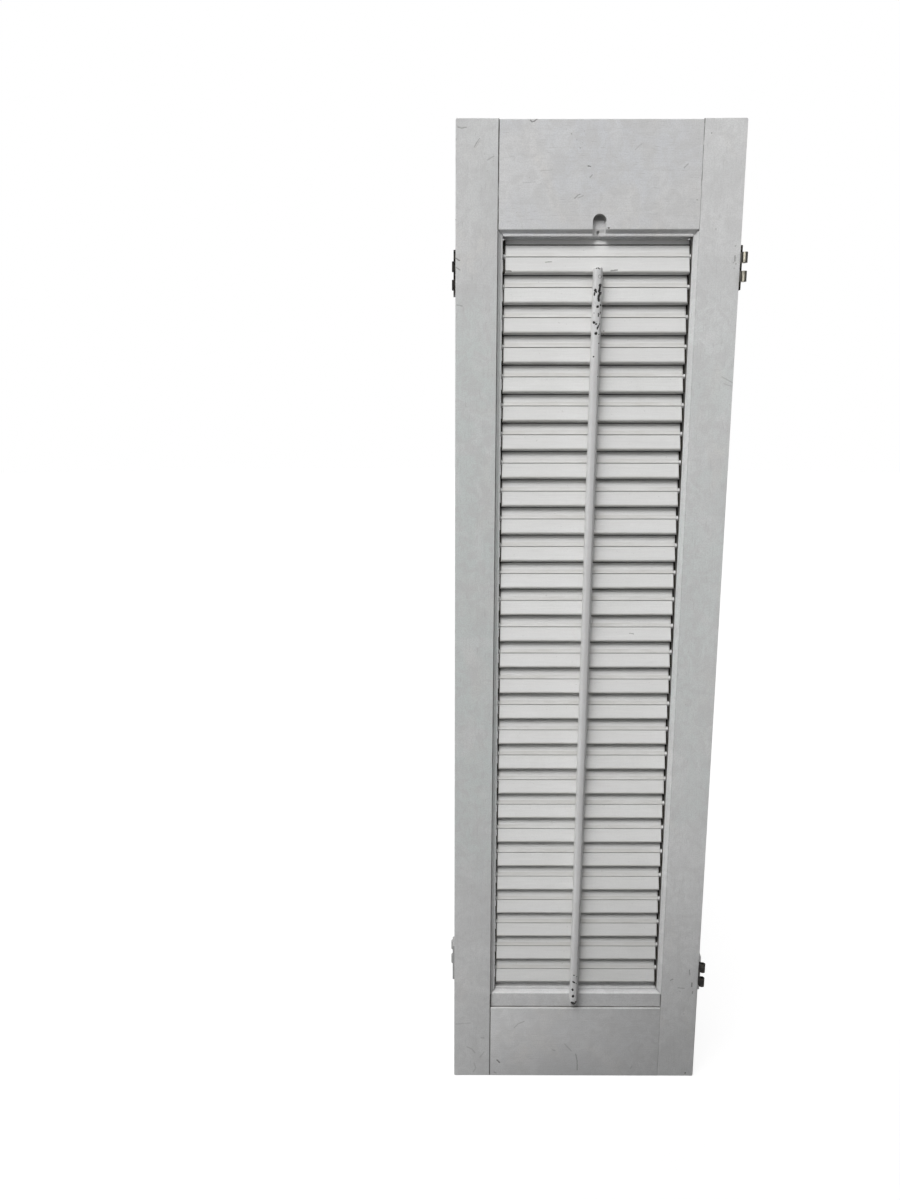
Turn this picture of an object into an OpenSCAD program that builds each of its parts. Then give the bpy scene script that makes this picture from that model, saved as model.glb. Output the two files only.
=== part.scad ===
// Louvred shutter panel: two stiles, two rails, a stack of pivoting louvers
// tied by wire staples to one tilt rod, and loose-pin hinge leaves on both edges.
// Millimetres. X is the width, the front faces -Y, Z is up.
// Origin: middle of the panel's bottom edge.

/* [Panel] */
// Width over the two stiles
panel_w = 254; // [246:1:290]
// Height of the stiles
panel_h = 943; // [935:1:980]
// Thickness of stiles and rails
panel_t = 19; // [18:0.5:20]
// Width of a stile's flat face
stile_face = 37.7; // [34:0.1:39]
// How far the rail ends stop short of the stile tops
top_reveal = 0.8; // [0:0.1:1.5]

/* [Sticking around the opening] */
// Width of the bevel along the inner edges
bevel_w = 2.3; // [1.5:0.1:2.6]
// Depth of the bevel
bevel_d = 3.2; // [2.5:0.1:3.4]
// Width of the flat fillet inside the bevel
fillet_w = 2.3; // [1.5:0.1:2.6]

/* [Rails] */
// Height of the top rail's face edge above the bottom of the panel
top_face_z = 851.5; // [851:0.1:855]
// Top of the bottom rail's full-thickness face
bottom_face_z = 80.4; // [60:0.1:82]
// Top of the recessed strip on the bottom rail
strip_top_z = 95.7; // [93:0.1:96]
// Depth of the recessed strip
strip_d = 2.6; // [2.2:0.1:2.7]
// Width of the rod notch in the top rail
notch_w = 11.5; // [11:0.1:13]
// Depth of the rod notch
notch_d = 8.1; // [8.1:0.1:8.4]
// Height of the notch's arch
notch_top_z = 864.2; // [862:0.1:880]
// Sideways place of the notch
notch_x = 0.8; // [0:0.1:0.8]

/* [Louvers] */
// Height of the top louver's pivot
first_pivot_z = 829.8; // [829.4:0.1:830]
// Distance from pivot to pivot
pitch = 26.2; // [26.1:0.05:26.3]
// Width of a louver from edge to edge
chord = 31; // [30:0.25:31.25]
// Thickness of a louver
slat_t = 5.6; // [5:0.1:5.8]
// Radius of a louver's edges
edge_r = 2.0; // [1.5:0.1:2.3]
// How far the upper half of a louver's face stands proud at the middle groove
swell = 0.3; // [0.1:0.05:0.4]
// Width of the fine grooves along a louver
groove_w = 0.7; // [0.5:0.05:0.9]
// Diameter of the turned pins
pin_d = 4.76; // [4:0.02:5]
// Play of a pin in its hole, on the radius
pin_play = 0.05; // [0.02:0.01:0.09]
// Gap between a louver's end and the stile
end_gap = 1.15; // [1.1:0.05:1.4]
// Width of the bevel on a louver's end
end_bevel = 1.1; // [0.6:0.1:1.6]
// Gap between closed louvers
closed_gap = 0.3; // [0.3:0.05:0.6]

/* [Tilt rod] */
// Width of the rod
rod_w = 8.4; // [7.5:0.1:8.6]
// Depth of the rod, front to back
rod_t = 9.0; // [8:0.1:10]
// Lower end of the rod
rod_z0 = 88.2; // [86:0.1:92]
// Upper end of the rod
rod_z1 = 818.9; // [816:0.1:820]
// Distance of the staple link from the louver's pivot
link_r = 19; // [18.8:0.1:19.4]
// Sideways lean of the hung rod, in degrees
rod_lean = 0.21; // [0:0.01:0.25]
// Wire diameter of the staples
wire_d = 1.3; // [1.1:0.1:1.3]

/* [Hinge leaves] */
// Length of a leaf
leaf_l = 38.1; // [37:0.1:39]
// Thickness of a leaf
leaf_t = 1.8; // [1.6:0.1:1.9]
// Length of a knuckle
knuckle_l = 9; // [8:0.1:9.4]
// Gap between the two knuckles
knuckle_gap = 7.1; // [6.5:0.1:7.5]
// Outside diameter of a knuckle
knuckle_d = 5.6; // [5.2:0.1:5.8]
// Bore for the loose pin
pin_bore_d = 2.9; // [2.6:0.1:3]
// Heights of the leaves' middles: top right, bottom right
hinge_z_right = [819.4, 121.5]; // [100:0.1:840]
// Heights of the leaves' middles: top left, bottom left
hinge_z_left = [815.5, 132]; // [100:0.1:840]

/* [Hidden] */
N = 28;
$fn = 48;
half_w = panel_w / 2;
face_y = -panel_t / 2;
back_y = panel_t / 2;
joint_x = half_w - stile_face;                  // rail shoulder
open_x = joint_x - bevel_w - fillet_w;          // clear edge of the opening
fil_y = face_y + bevel_d;                       // front fillet plane
delta = asin((slat_t + closed_gap) / pitch);    // lean of a closed louver
slat_l = 2 * (open_x - end_gap);
rc = slat_t / 2;
uc = chord / 2 - edge_r;                        // centre of a rounded edge
reach = uc * cos(delta) + (rc - edge_r) * sin(delta) + edge_r; // height of a closed louver's edge over its pivot
mid_u = 1.0;                                    // middle groove, below the pivot
rear_u = -9.9;                                  // groove near the rear edge
last_pivot_z = first_pivot_z - (N - 1) * pitch;
top_fil_z = top_face_z - bevel_w - fillet_w;
lip_top_z = first_pivot_z + reach + 0.4;        // lower face of the top rail's lip
bot_fil_z = strip_top_z + bevel_w + fillet_w + 0.7;
lip_bot_z = last_pivot_z - reach - 0.4;         // upper face of the bottom rail's lip
strip_y = face_y + strip_d;
seam = 0.12;                                    // open hairline at the rail shoulders
hole_depth = 11;
pin_l = 8.5;
link_y = -link_r * sin(delta);
link_dz = -link_r * cos(delta);
rod_back = link_y - 3.3;
wr = wire_d / 2;
hook = 1.75;                                    // rod staple: wire centre from link centre
axis_right = [half_w + 2.8, face_y - knuckle_d / 2 - 0.1];
axis_left = [-half_w - 0.4, back_y + knuckle_d / 2 + 0.1];
leaf_y0 = face_y + 0.2;
leaf_y1 = back_y - 1.2;
screw_at = [[-3, -12.5], [4.2, 0], [-3, 12.5]];
screw_r = 1.3;
head_r = 2.9;
head_h = 1.6;
screw_l = 15;
dowel_r = 4.75;
dowel_z = [30, 62, 876, 916];
// sideways drift of the louvers in their holes, a hand-set pattern in fiftieths
drift = [for (d = [38, -8, -4, 2, -10, 4, -2, -8, 6, -6, 0, -10, 4, -4,
                   -8, 2, -6, -12, -4, 4, -10, -6, 0, -12, -8, -4, -10, -14]) d * 0.02];

function pivot_z(i) = first_pivot_z - i * pitch;
function rod_x(z) = 0.3 - (rod_z1 - z) * tan(rod_lean);
function link_x(i) = rod_x(pivot_z(i) + link_dz);

// profile drawn in Y,Z and run along X, centred on x
module along_x(len, x = 0) translate([x - len / 2, 0, 0]) rotate([90, 0, 90]) linear_extrude(len) children();
// outline drawn in X,Z and run through the panel's thickness
module through_y(d = 60) translate([0, d / 2, 0]) rotate([90, 0, 0]) linear_extrude(d) children();

// ---- frame ----
module stile_section() polygon([
  [-half_w, face_y], [-joint_x, face_y], [-joint_x + bevel_w, fil_y], [-open_x, fil_y],
  [-open_x, -fil_y], [-joint_x + bevel_w, -fil_y], [-joint_x, back_y], [-half_w, back_y]]);

module stile_shape(hinge_z, hinge_side_front) difference() {
  linear_extrude(panel_h) stile_section();
  // shoulders for the rails, with mitred sticking
  through_y() polygon([[-joint_x, top_face_z], [-open_x + 2, top_face_z - joint_x + open_x - 2],
    [-open_x + 2, panel_h + 2], [-joint_x, panel_h + 2]]);
  through_y() polygon([[-joint_x, strip_top_z], [-open_x + 2, strip_top_z + joint_x - open_x + 2],
    [-open_x + 2, -2], [-joint_x, -2]]);
  // blind holes for the louver pins
  for (i = [0 : N - 1]) translate([-open_x - hole_depth, 0, pivot_z(i)]) rotate([0, 90, 0])
    cylinder(r = pin_d / 2 + pin_play, h = hole_depth + 2);
  // dowel holes
  for (z = dowel_z) translate([-joint_x - 23, 0, z]) rotate([0, 90, 0]) cylinder(r = dowel_r + 0.02, h = 40);
  // pilot holes for the hinge screws
  for (hz = hinge_z, s = screw_at) translate([-half_w - 2, s[0] * hinge_side_front, hz + s[1]]) rotate([0, 90, 0])
    cylinder(r = screw_r + 0.02, h = screw_l + 2);
}

module left_stile() color("gainsboro") stile_shape(hinge_z_left, -1);
module right_stile() color("gainsboro") mirror([1, 0, 0]) stile_shape(hinge_z_right, 1);

module rail_dowel_holes(zs) for (z = zs, s = [-1, 1]) translate([s * (joint_x - 26), 0, z]) rotate([0, s * 90, 0])
  cylinder(r = dowel_r + 0.02, h = 40);

module top_rail() color("gainsboro") difference() {
  along_x(2 * (joint_x - seam)) polygon([
    [face_y, panel_h - top_reveal], [face_y, top_face_z], [fil_y, top_face_z - bevel_w], [fil_y, top_fil_z],
    [-1, top_fil_z], [-1, lip_top_z], [-fil_y, lip_top_z], [-fil_y, top_face_z - bevel_w],
    [back_y, top_face_z], [back_y, panel_h - top_reveal]]);
  for (m = [0, 1]) mirror([m, 0, 0]) through_y() polygon([[-joint_x + seam, top_face_z],
    [-joint_x + seam + 10, top_face_z - 10], [-joint_x - 2, top_face_z - 10], [-joint_x - 2, top_face_z]]);
  // arched notch that takes the rod's upper end
  translate([notch_x, face_y + notch_d, 0]) rotate([90, 0, 0]) linear_extrude(notch_d + 1) union() {
    translate([0, notch_top_z - notch_w / 2]) circle(d = notch_w);
    translate([-notch_w / 2, lip_top_z - 5]) square([notch_w, notch_top_z - notch_w / 2 - lip_top_z + 5]);
  }
  rail_dowel_holes([dowel_z[2], dowel_z[3]]);
}

module bottom_rail() color("gainsboro") difference() {
  along_x(2 * (joint_x - seam)) polygon([
    [face_y, 0], [face_y, bottom_face_z], [strip_y, bottom_face_z], [strip_y, strip_top_z],
    [strip_y + bevel_d - 0.3, strip_top_z + bevel_w + 0.7], [strip_y + bevel_d - 0.3, bot_fil_z],
    [1, bot_fil_z], [1, lip_bot_z], [-fil_y, lip_bot_z], [-fil_y, strip_top_z + bevel_w],
    [back_y, strip_top_z], [back_y, 0]]);
  for (m = [0, 1]) mirror([m, 0, 0]) through_y() polygon([[-joint_x + seam, strip_top_z],
    [-open_x + seam, strip_top_z + joint_x - open_x], [-open_x + seam, lip_bot_z + 5],
    [-joint_x - 2, lip_bot_z + 5], [-joint_x - 2, strip_top_z]]);
  rail_dowel_holes([dowel_z[0], dowel_z[1]]);
}

module frame_dowels() color("burlywood") for (z = dowel_z, s = [-1, 1])
  translate([s * joint_x - 22.5, 0, z]) rotate([0, 90, 0]) cylinder(r = dowel_r, h = 45);

// ---- louvers ----
// section: a flat slat with eased edges, each face a little proud on one side of its
// middle groove; chord along local X, front edge at +X
module slat_section() difference() {
  union() {
    for (s = [-1, 1], t = [-1, 1]) translate([s * uc, t * (rc - edge_r)]) circle(r = edge_r);
    square([2 * uc, slat_t], center = true);
    square([chord, slat_t - 2 * edge_r], center = true);
    for (r = [0, 180]) rotate(r) polygon([[-7, -rc + 0.5], [-7, -rc], [mid_u, -rc - swell], [mid_u, -rc + 0.5]]);
  }
  for (r = [0, 180]) rotate(r) {
    translate([mid_u - groove_w / 2, -rc - 1]) square([groove_w, 1.7]);
    translate([rear_u - 0.55, -rc - 1]) square([1.1, 2.1]);
  }
}

// local frame of a louver at rest: X along the chord, Y through it, Z along the pivot
module at_pivot(i) translate([0, 0, pivot_z(i)]) rotate([90, 0, 90]) rotate([0, 0, 270 - delta]) children();

module wire(p, ax, len, r) translate(p) rotate(ax) cylinder(r = r, h = len);

module louver_staple(i) translate([0, 0, link_x(i)]) {
  for (s = [-1, 1]) {
    wire([chord / 2 - 6, 0, s * 2.6], [0, 90, 0], link_r - chord / 2 + 6, wr);
    translate([link_r, 0, s * 2.6]) sphere(r = wr);
  }
  wire([link_r, 0, -2.6], [0, 0, 0], 5.2, wr);
}

// bevels across both faces at a louver's ends
module end_bevels() for (s = [-1, 1], f = [-1, 1]) along_x(chord + 4) polygon([
  [f * 0.8, s * slat_l / 2], [f * 4.8, s * (slat_l / 2 - 2 * end_bevel)],
  [f * 4.8, s * (slat_l / 2 + 1)], [f * 0.8, s * (slat_l / 2 + 1)]]);

module louver(i) {
  color("whitesmoke") at_pivot(i) difference() {
    translate([0, 0, drift[i]]) union() {
      difference() {
        translate([0, 0, -slat_l / 2]) linear_extrude(slat_l) slat_section();
        end_bevels();
      }
      for (s = [-1, 1]) translate([0, 0, s * (slat_l / 2 + pin_l)]) mirror([0, 0, (s + 1) / 2])
        cylinder(d = pin_d, h = pin_l + 5);
    }
    for (s = [-1, 1]) wire([chord / 2 - 6.1, 0, link_x(i) + s * 2.6], [0, 90, 0], 10, wr + 0.02);
  }
  color("dimgray") at_pivot(i) louver_staple(i);
}

// ---- tilt rod ----
module tilt_rod() color("whitesmoke") difference() {
  translate([rod_x(rod_z0), 0, rod_z0]) rotate([0, rod_lean, 0]) linear_extrude(rod_z1 - rod_z0) union() {
    translate([-rod_w / 2, rod_back - rod_t + rod_w / 2]) square([rod_w, rod_t - rod_w / 2]);
    translate([0, rod_back - rod_t + rod_w / 2]) circle(d = rod_w);
  }
  for (i = [0 : N - 1], s = [-1, 1]) translate([link_x(i), rod_back - 5, pivot_z(i) + link_dz + s * hook]) rotate([-90, 0, 0])
    cylinder(r = wr + 0.02, h = 8);
}

module rod_staple() {
  for (s = [-1, 1]) {
    wire([0, rod_back - 4.9, s * hook], [-90, 0, 0], link_y + hook - rod_back + 4.9, wr);
    translate([0, link_y + hook, s * hook]) sphere(r = wr);
  }
  wire([0, link_y + hook, -hook], [0, 0, 0], 2 * hook, wr);
}

module rod_staples() color("dimgray") for (i = [0 : N - 1]) translate([link_x(i), 0, pivot_z(i) + link_dz]) rod_staple();

// ---- hinge leaves ----
// leaf on the right edge with its barrel at the front; ax is the pin axis in X,Y
module leaf_shape(hz, ax) difference() {
  union() {
    translate([half_w, leaf_y0, hz - leaf_l / 2]) cube([leaf_t, leaf_y1 - leaf_y0, leaf_l]);
    for (s = [-1, 1]) translate([0, 0, hz + s * (knuckle_gap + knuckle_l) / 2 - knuckle_l / 2]) {
      translate([ax[0], ax[1], 0]) cylinder(d = knuckle_d, h = knuckle_l);
      translate([half_w, ax[1], 0]) cube([leaf_t, leaf_y0 - ax[1] + 1, knuckle_l]);
    }
  }
  translate([ax[0], ax[1], hz - leaf_l]) cylinder(d = pin_bore_d, h = 2 * leaf_l);
  for (s = screw_at) translate([half_w + leaf_t, s[0], hz + s[1]]) rotate([0, -90, 0]) {
    translate([0, 0, -0.01]) cylinder(r1 = head_r + 0.05, r2 = screw_r + 0.05, h = head_h + 0.01);
    cylinder(r = screw_r + 0.05, h = leaf_t + 1);
  }
}

module turned_leaf(hz, ax) rotate([0, 0, 180]) leaf_shape(hz, ax);

module hinge_leaf_top_right() color("darkslategray") leaf_shape(hinge_z_right[0], axis_right);
module hinge_leaf_bottom_right() color("darkslategray") leaf_shape(hinge_z_right[1], axis_right);
module hinge_leaf_top_left() color("darkslategray") turned_leaf(hinge_z_left[0], -axis_left);
module hinge_leaf_bottom_left() color("darkslategray") turned_leaf(hinge_z_left[1], -axis_left);

module screw(hz, s) translate([half_w + leaf_t, s[0], hz + s[1]]) rotate([0, -90, 0]) difference() {
  union() {
    cylinder(r1 = head_r, r2 = screw_r, h = head_h);
    cylinder(r = screw_r, h = screw_l - 0.5);
  }
  translate([-0.35, -4, -1]) cube([0.7, 8, 1.7]);
}

module hinge_screws() color("gray") {
  for (hz = hinge_z_right, s = screw_at) screw(hz, s);
  rotate([0, 0, 180]) for (hz = hinge_z_left, s = screw_at) screw(hz, s);
}

left_stile();
right_stile();
top_rail();
bottom_rail();
louver(0);  // louver_01
louver(1);  // louver_02
louver(2);  // louver_03
louver(3);  // louver_04
louver(4);  // louver_05
louver(5);  // louver_06
louver(6);  // louver_07
louver(7);  // louver_08
louver(8);  // louver_09
louver(9);  // louver_10
louver(10);  // louver_11
louver(11);  // louver_12
louver(12);  // louver_13
louver(13);  // louver_14
louver(14);  // louver_15
louver(15);  // louver_16
louver(16);  // louver_17
louver(17);  // louver_18
louver(18);  // louver_19
louver(19);  // louver_20
louver(20);  // louver_21
louver(21);  // louver_22
louver(22);  // louver_23
louver(23);  // louver_24
louver(24);  // louver_25
louver(25);  // louver_26
louver(26);  // louver_27
louver(27);  // louver_28
tilt_rod();
rod_staples();
hinge_leaf_top_right();
hinge_leaf_bottom_right();
hinge_leaf_top_left();
hinge_leaf_bottom_left();
hinge_screws();
frame_dowels();
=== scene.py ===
import math

import bmesh
import bpy
from mathutils import Matrix, Vector, noise


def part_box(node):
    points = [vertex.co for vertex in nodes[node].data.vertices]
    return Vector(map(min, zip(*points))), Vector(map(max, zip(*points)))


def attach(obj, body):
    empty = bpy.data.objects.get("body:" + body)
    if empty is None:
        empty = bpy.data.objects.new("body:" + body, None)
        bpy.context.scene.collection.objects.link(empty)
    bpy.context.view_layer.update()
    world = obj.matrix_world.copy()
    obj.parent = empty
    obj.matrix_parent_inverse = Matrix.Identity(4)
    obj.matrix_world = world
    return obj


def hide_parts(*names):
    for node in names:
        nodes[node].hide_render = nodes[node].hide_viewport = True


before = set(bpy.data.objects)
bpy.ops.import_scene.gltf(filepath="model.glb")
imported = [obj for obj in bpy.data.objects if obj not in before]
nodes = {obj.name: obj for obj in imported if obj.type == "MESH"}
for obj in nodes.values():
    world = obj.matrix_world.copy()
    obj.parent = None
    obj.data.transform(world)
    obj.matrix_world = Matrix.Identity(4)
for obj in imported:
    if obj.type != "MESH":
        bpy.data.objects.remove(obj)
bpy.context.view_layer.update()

MM = 0.001

# ---------------------------------------------------------------- camera
scene = bpy.context.scene
scene.view_settings.view_transform = "Standard"
cam_data = bpy.data.cameras.new("camera")
cam_data.lens = 27.0
cam_data.sensor_width = 36.0
cam_data.clip_start = 0.01
cam_data.clip_end = 60
cam = bpy.data.objects.new("camera", cam_data)
scene.collection.objects.link(cam)
pitch, yaw, roll = math.radians(10.94), math.radians(0.185), math.radians(-0.03)
cam.location = (-0.1291, -0.8562, 0.6802)
cam.rotation_euler = (math.pi / 2 - pitch, roll, yaw)
scene.camera = cam

# a 900 x 1200 picture frame, used once here to lay marks out on the rest pose
CAM_AT = Vector(cam.location) / MM
CAM_ROT = cam.rotation_euler.to_matrix()
FOCAL = 900.0


def on_plane(px, py, y=-9.5):
    """Where the sight line of a picture point meets the plane at depth y, as (x, z) in mm."""
    d = CAM_ROT @ Vector(((px - 450.0) / FOCAL, (600.0 - py) / FOCAL, -1.0))
    t = (y - CAM_AT.y) / d.y
    p = CAM_AT + d * t
    return p.x, p.z


def to_picture(p):
    q = CAM_ROT.transposed() @ (p - CAM_AT)
    return 450.0 - FOCAL * q.x / q.z, 600.0 + FOCAL * q.y / q.z


# ---------------------------------------------------------------- node helpers
class Tree:
    """A material's node tree with short calls for the nodes used here."""

    def __init__(self, name):
        self.mat = bpy.data.materials.new(name)
        self.mat.use_nodes = True
        self.t = self.mat.node_tree
        self.t.nodes.clear()
        self.out = self.t.nodes.new("ShaderNodeOutputMaterial")
        self.bsdf = self.t.nodes.new("ShaderNodeBsdfPrincipled")
        self.t.links.new(self.bsdf.outputs[0], self.out.inputs[0])
        self.coord = self.t.nodes.new("ShaderNodeTexCoord").outputs["Object"]
        sep = self.t.nodes.new("ShaderNodeSeparateXYZ")
        self.t.links.new(self.coord, sep.inputs[0])
        self.x, self.y, self.z = sep.outputs[0], sep.outputs[1], sep.outputs[2]

    def put(self, sock, v):
        if isinstance(v, bpy.types.NodeSocket):
            self.t.links.new(v, sock)
        else:
            sock.default_value = v

    def math(self, op, a, b=0.0, c=0.0, clamp=False):
        n = self.t.nodes.new("ShaderNodeMath")
        n.operation = op
        n.use_clamp = clamp
        self.put(n.inputs[0], a)
        self.put(n.inputs[1], b)
        self.put(n.inputs[2], c)
        return n.outputs[0]

    def vec(self, op, a, b=(0, 0, 0), scale=None):
        n = self.t.nodes.new("ShaderNodeVectorMath")
        n.operation = op
        self.put(n.inputs[0], a)
        if scale is None:
            self.put(n.inputs[1], b)
        else:
            self.put(n.inputs["Scale"], scale)
        return n.outputs["Value"] if op in ("DOT_PRODUCT", "LENGTH") else n.outputs["Vector"]

    def scaled(self, sx, sy, sz, off=(0, 0, 0)):
        n = self.t.nodes.new("ShaderNodeMapping")
        self.t.links.new(self.coord, n.inputs[0])
        n.inputs["Location"].default_value = off
        n.inputs["Scale"].default_value = (sx, sy, sz)
        return n.outputs[0]

    def noise(self, vec, scale=1.0, detail=3.0, rough=0.55, distort=0.0):
        n = self.t.nodes.new("ShaderNodeTexNoise")
        self.put(n.inputs["Vector"], vec)
        n.inputs["Scale"].default_value = scale
        n.inputs["Detail"].default_value = detail
        n.inputs["Roughness"].default_value = rough
        n.inputs["Distortion"].default_value = distort
        return n.outputs["Fac"]

    def step(self, v, lo, hi, to_lo=0.0, to_hi=1.0):
        n = self.t.nodes.new("ShaderNodeMapRange")
        n.interpolation_type = "SMOOTHSTEP"
        self.put(n.inputs["Value"], v)
        for k, val in (("From Min", lo), ("From Max", hi), ("To Min", to_lo), ("To Max", to_hi)):
            self.put(n.inputs[k], val)
        return n.outputs[0]

    def mix(self, f, a, b):
        n = self.t.nodes.new("ShaderNodeMix")
        n.data_type = "RGBA"
        self.put(n.inputs[0], f)
        self.put(n.inputs[6], a)
        self.put(n.inputs[7], b)
        return n.outputs[2]

    def bump(self, height, strength, distance, normal=None):
        n = self.t.nodes.new("ShaderNodeBump")
        n.inputs["Strength"].default_value = strength
        n.inputs["Distance"].default_value = distance
        self.put(n.inputs["Height"], height)
        if normal is not None:
            self.t.links.new(normal, n.inputs["Normal"])
        return n.outputs[0]

    def face_point(self, wobble=0.3):
        """(x, z, 0) in mm, shaken a little so that strokes are not ruler-straight."""
        c = self.t.nodes.new("ShaderNodeCombineXYZ")
        wx = self.noise(self.scaled(310, 310, 310, (5, 1, 2)), 1.0, 2.0, 0.6)
        wz = self.noise(self.scaled(310, 310, 310, (9, 4, 7)), 1.0, 2.0, 0.6)
        for k, (axis, w) in enumerate(((self.x, wx), (self.z, wz))):
            shake = self.math("MULTIPLY_ADD", w, 4.0 * wobble, -2.0 * wobble)
            self.put(c.inputs[k], self.math("MULTIPLY_ADD", axis, 1000.0, shake))
        return c.outputs[0]

    def stroke(self, p, a, b, half, soft=0.6):
        """1 on a short line from a to b (mm on the face), 0 away from it."""
        pa = self.vec("SUBTRACT", p, (a[0], a[1], 0))
        if b is None:
            return self.step(self.vec("LENGTH", pa), half, half + soft, 1.0, 0.0)
        ba = Vector((b[0] - a[0], b[1] - a[1], 0))
        h = self.math("MULTIPLY", self.vec("DOT_PRODUCT", pa, tuple(ba)), 1.0 / ba.length_squared, clamp=True)
        on = self.vec("SUBTRACT", pa, self.vec("SCALE", tuple(ba), scale=h))
        return self.step(self.vec("LENGTH", on), half, half + soft, 1.0, 0.0)

    def strokes(self, p, marks, y=-9.5):
        """Marks are (strength, half width in mm, picture points...), joined to one mask."""
        total = None
        for strength, half, *pts in marks:
            pts = [on_plane(u, v, y) for u, v in pts]
            pairs = list(zip(pts[:-1], pts[1:])) if len(pts) > 1 else [(pts[0], None)]
            for a, b in pairs:
                m = self.math("MULTIPLY", self.stroke(p, a, b, half), strength)
                total = m if total is None else self.math("MAXIMUM", total, m)
        return total


def grey(v, warm=0.0, green=0.0):
    return (v * (1 + warm), v * (1 + green), v * (1 - warm), 1.0)


# one dark colour for real scratches, open joints and dirt, and for painted shade in recesses, grooves and gaps
GRIME_AND_SHADE = (0.085, 0.080, 0.070, 1)
INK = (0.022, 0.021, 0.020, 1)


def brushed(m, grain, seed):
    """Shared fields of old brushed paint over wood; grain is the axis it runs along."""
    off = (seed * 3.1, seed * 1.7, seed * 2.3)
    fine, wide, dash = {"x": ((34, 620, 620), (7, 120, 120), (110, 900, 900)), "z": ((620, 620, 34), (120, 120, 7), (900, 900, 110))}[grain]
    return {
        "brush": m.noise(m.scaled(*fine, off), 1.0, 4.0, 0.6, 0.3),
        "wide": m.noise(m.scaled(*wide, off), 1.0, 3.0, 0.5, 0.6),
        "dash": m.noise(m.scaled(*dash, off), 1.0, 2.0, 0.5, 0.2),
        "cloud": m.noise(m.scaled(13, 13, 11, off), 1.0, 4.0, 0.62, 0.8),
        "patch": m.noise(m.scaled(30, 30, 24, off), 1.0, 2.0, 0.5, 1.4),
        "mottle": m.noise(m.scaled(75, 75, 75, (off[2], off[0], off[1])), 1.0, 3.0, 0.6, 1.2),
        "hue": m.noise(m.scaled(21, 21, 17, (off[1], off[2], off[0])), 1.0, 2.0, 0.5, 0.8),
        "tone": m.noise(m.scaled(17, 17, 14, (off[2] + 4, off[1], off[0])), 1.0, 3.0, 0.55, 1.0),
        "grit": m.noise(m.scaled(900, 900, 900, off), 1.0, 2.0, 0.5),
        "speck": m.step(m.noise(m.scaled(380, 380, 380, off), 1.0, 1.0, 0.4), 0.755, 0.80),
    }


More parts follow.
